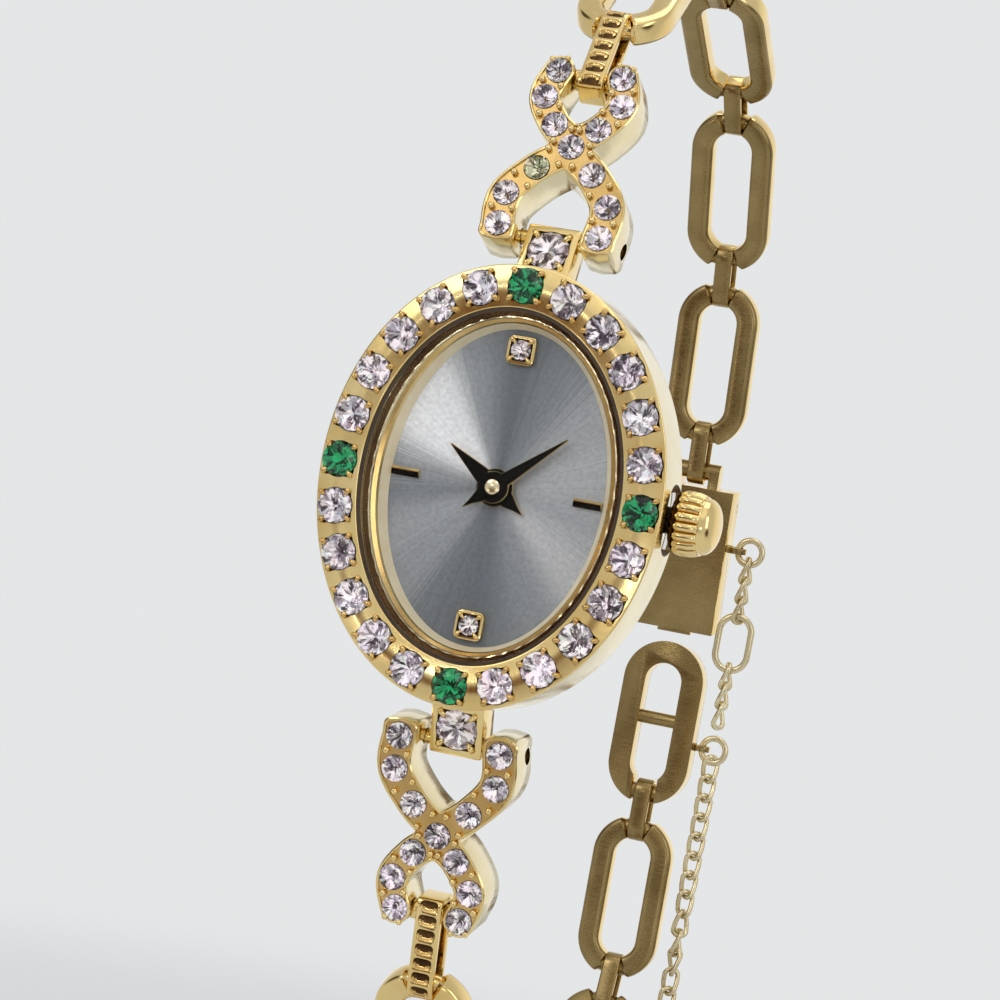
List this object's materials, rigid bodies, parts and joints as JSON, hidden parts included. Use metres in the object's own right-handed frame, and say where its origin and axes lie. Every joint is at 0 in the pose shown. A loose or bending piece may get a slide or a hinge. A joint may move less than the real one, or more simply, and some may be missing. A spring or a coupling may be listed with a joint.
{
  "type": "quartz bracelet watch",
  "caption": "Small oval gold-tone quartz watch with a stone-set face ring, figure-eight stone links, an open long-link bracelet, a fold-over clasp and a safety chain.",
  "frame": {"origin": "centre of the outer face of the case back", "axes": "+Z to 12 o'clock, the dial faces -Y, the crown points to +X"},
  "size_m": [0.0184, 0.0454, 0.0705],
  "materials": {
    "gold": "polished gold plate",
    "crystal": "clear mineral glass",
    "clear_stone": "faceted clear stone, foil backed",
    "green_stone": "faceted green stone",
    "dial": "silver sunburst",
    "steel": "fine brushed",
    "gold_wheel": "satin brass",
    "plastic": "white moulded",
    "clear_plastic": "clear gasket",
    "rubber": "black",
    "board": "green circuit board",
    "copper": "copper winding",
    "back": "circular brushed steel"
  },
  "bodies": {
    "case": {"case_body": "gold", "face_clear_stones": "clear_stone", "face_green_stones": "green_stone", "lug_stones": "clear_stone", "lug_pins": "gold", "crystal": "crystal", "crystal_gasket": "clear_plastic", "inner_ring": "gold", "dial": "dial", "dial_markers": "gold", "dial_stones": "clear_stone", "movement_holder": "plastic", "main_plate": "gold_wheel", "train_bridge": "steel", "coil": "copper", "stator": "steel", "circuit_board": "board", "quartz_can": "steel", "battery": "steel", "battery_clamp": "steel", "case_back": "back", "case_back_gasket": "rubber", "crown_tube": "steel"},
    "setting_slide": {"setting_slide": "steel"},
    "crown": {"crown": "gold", "stem": "steel"},
    "minute_hand": {"minute_hand": "gold", "center_wheel": "gold_wheel", "hand_cap": "gold"},
    "hour_hand": {"hour_hand": "gold", "hour_wheel": "gold_wheel"},
    "minute_wheel": {"minute_wheel": "gold_wheel"},
    "third_wheel": {"third_wheel": "gold_wheel"},
    "intermediate_wheel": {"intermediate_wheel": "gold_wheel"},
    "rotor": {"rotor": "steel"},
    "upper_eight_link": {"upper_eight_link": "gold", "upper_eight_stones": "clear_stone"},
    "upper_connector": {"upper_connector": "gold"},
    "upper_link_1": {"upper_link_1": "gold"},
    "upper_link_2": {"upper_link_2": "gold"},
    "upper_link_3": {"upper_link_3": "gold"},
    "upper_link_4": {"upper_link_4": "gold"},
    "upper_link_5": {"upper_link_5": "gold"},
    "clasp": {"clasp_body": "gold", "clasp_pin": "gold"},
    "lower_eight_link": {"lower_eight_link": "gold", "lower_eight_stones": "clear_stone"},
    "lower_connector": {"lower_connector": "gold"},
    "lower_link_1": {"lower_link_1": "gold"},
    "lower_link_2": {"lower_link_2": "gold"},
    "lower_link_3": {"lower_link_3": "gold"},
    "lower_link_4": {"lower_link_4": "gold"},
    "lower_link_5": {"lower_link_5": "gold"},
    "lower_link_6": {"lower_link_6": "gold"},
    "ladder_link": {"ladder_link": "gold"},
    "clasp_cover": {"clasp_cover": "gold"},
    "clasp_strand": {"clasp_strand": "gold"},
    "ladder_strand": {"ladder_strand": "gold"}
  },
  "joints": [
    {"name": "crown_pull", "type": "slide", "parent": "case", "child": "setting_slide", "axis": [1, 0, 0], "range_m": [0, 0.0005]},
    {"name": "crown_turn", "type": "hinge", "parent": "setting_slide", "child": "crown", "pos_m": [0.006, -0.0032, 0], "axis": [1, 0, 0], "continuous": true},
    {"name": "minute_turn", "type": "hinge", "parent": "case", "child": "minute_hand", "pos_m": [0, -0.0033, 0], "axis": [0, 1, 0], "continuous": true},
    {"name": "hour_turn", "type": "hinge", "parent": "case", "child": "hour_hand", "pos_m": [0, -0.004, 0], "axis": [0, 1, 0], "continuous": true},
    {"name": "minute_wheel_turn", "type": "hinge", "parent": "case", "child": "minute_wheel", "pos_m": [-0.0016, -0.0036, -0.0012], "axis": [0, 1, 0], "continuous": true},
    {"name": "third_wheel_turn", "type": "hinge", "parent": "case", "child": "third_wheel", "pos_m": [-0.00139, -0.0027, 0.00165], "axis": [0, 1, 0], "continuous": true},
    {"name": "intermediate_turn", "type": "hinge", "parent": "case", "child": "intermediate_wheel", "pos_m": [-0.00046, -0.0024, 0.00276], "axis": [0, 1, 0], "continuous": true},
    {"name": "rotor_turn", "type": "hinge", "parent": "case", "child": "rotor", "pos_m": [0.00055, -0.0025, 0.00313], "axis": [0, 1, 0], "continuous": true},
    {"name": "upper_eight_link_hinge", "type": "hinge", "parent": "case", "child": "upper_eight_link", "pos_m": [0, -0.0024, 0.01175], "axis": [1, 0, 0], "range_deg": [0, 30]},
    {"name": "upper_connector_hinge", "type": "hinge", "parent": "upper_eight_link", "child": "upper_connector", "pos_m": [0, -0.00068, 0.01963], "axis": [1, 0, 0], "range_deg": [0, 20]},
    {"name": "upper_link_1_hinge", "type": "hinge", "parent": "upper_connector", "child": "upper_link_1", "pos_m": [0, 0.00102, 0.02257], "axis": [1, 0, 0], "range_deg": [0, 45]},
    {"name": "upper_link_2_hinge", "type": "hinge", "parent": "upper_link_1", "child": "upper_link_2", "pos_m": [0, 0.0094, 0.02876], "axis": [1, 0, 0], "range_deg": [0, 45]},
    {"name": "upper_link_3_hinge", "type": "hinge", "parent": "upper_link_2", "child": "upper_link_3", "pos_m": [0, 0.01984, 0.02894], "axis": [1, 0, 0], "range_deg": [0, 45]},
    {"name": "upper_link_4_hinge", "type": "hinge", "parent": "upper_link_3", "child": "upper_link_4", "pos_m": [0, 0.02893, 0.02383], "axis": [1, 0, 0], "range_deg": [0, 45]},
    {"name": "upper_link_5_hinge", "type": "hinge", "parent": "upper_link_4", "child": "upper_link_5", "pos_m": [0, 0.03388, 0.01459], "axis": [1, 0, 0], "range_deg": [0, 30]},
    {"name": "clasp_hinge", "type": "hinge", "parent": "upper_link_5", "child": "clasp", "pos_m": [0, 0.03599, 0.00431], "axis": [1, 0, 0], "range_deg": [0, 30]},
    {"name": "lower_eight_link_hinge", "type": "hinge", "parent": "case", "child": "lower_eight_link", "pos_m": [0, -0.0024, -0.01175], "axis": [1, 0, 0], "range_deg": [-30, 0]},
    {"name": "lower_connector_hinge", "type": "hinge", "parent": "lower_eight_link", "child": "lower_connector", "pos_m": [0, -0.00131, -0.01974], "axis": [1, 0, 0], "range_deg": [-20, 0]},
    {"name": "lower_link_1_hinge", "type": "hinge", "parent": "lower_connector", "child": "lower_link_1", "pos_m": [0, -0.00054, -0.02305], "axis": [1, 0, 0], "range_deg": [-35, 0]},
    {"name": "lower_link_2_hinge", "type": "hinge", "parent": "lower_link_1", "child": "lower_link_2", "pos_m": [0, 0.00506, -0.03189], "axis": [1, 0, 0], "range_deg": [-40, 0]},
    {"name": "lower_link_3_hinge", "type": "hinge", "parent": "lower_link_2", "child": "lower_link_3", "pos_m": [0, 0.01378, -0.03768], "axis": [1, 0, 0], "range_deg": [-40, 0]},
    {"name": "lower_link_4_hinge", "type": "hinge", "parent": "lower_link_3", "child": "lower_link_4", "pos_m": [0, 0.02409, -0.03922], "axis": [1, 0, 0], "range_deg": [-45, 0]},
    {"name": "lower_link_5_hinge", "type": "hinge", "parent": "lower_link_4", "child": "lower_link_5", "pos_m": [0, 0.03341, -0.03458], "axis": [1, 0, 0], "range_deg": [-45, 0]},
    {"name": "lower_link_6_hinge", "type": "hinge", "parent": "lower_link_5", "child": "lower_link_6", "pos_m": [0, 0.03841, -0.02542], "axis": [1, 0, 0], "range_deg": [-45, 0]},
    {"name": "ladder_link_hinge", "type": "hinge", "parent": "lower_link_6", "child": "ladder_link", "pos_m": [0, 0.03806, -0.01493], "axis": [1, 0, 0], "range_deg": [-30, 0]},
    {"name": "clasp_cover_hinge", "type": "hinge", "parent": "clasp", "child": "clasp_cover", "pos_m": [0, 0.0369, 0.00249], "axis": [1, 0, 0], "range_deg": [0, 80]},
    {"name": "clasp_strand_swing", "type": "hinge", "parent": "clasp", "child": "clasp_strand", "pos_m": [0.00313, 0.03658, 0.00009], "axis": [1, 0, 0], "range_deg": [-25, 0]},
    {"name": "ladder_strand_swing", "type": "hinge", "parent": "ladder_link", "child": "ladder_strand", "pos_m": [0.00288, 0.03801, -0.01173], "axis": [1, 0, 0], "range_deg": [0, 25]}
  ],
  "couplings": [
    {"joint": "hour_turn", "follows": "minute_turn", "ratio": 0.083333},
    {"joint": "minute_wheel_turn", "follows": "minute_turn", "ratio": -0.33333},
    {"joint": "third_wheel_turn", "follows": "minute_turn", "ratio": -5},
    {"joint": "intermediate_turn", "follows": "minute_turn", "ratio": 15},
    {"joint": "rotor_turn", "follows": "minute_turn", "ratio": -30}
  ]
}
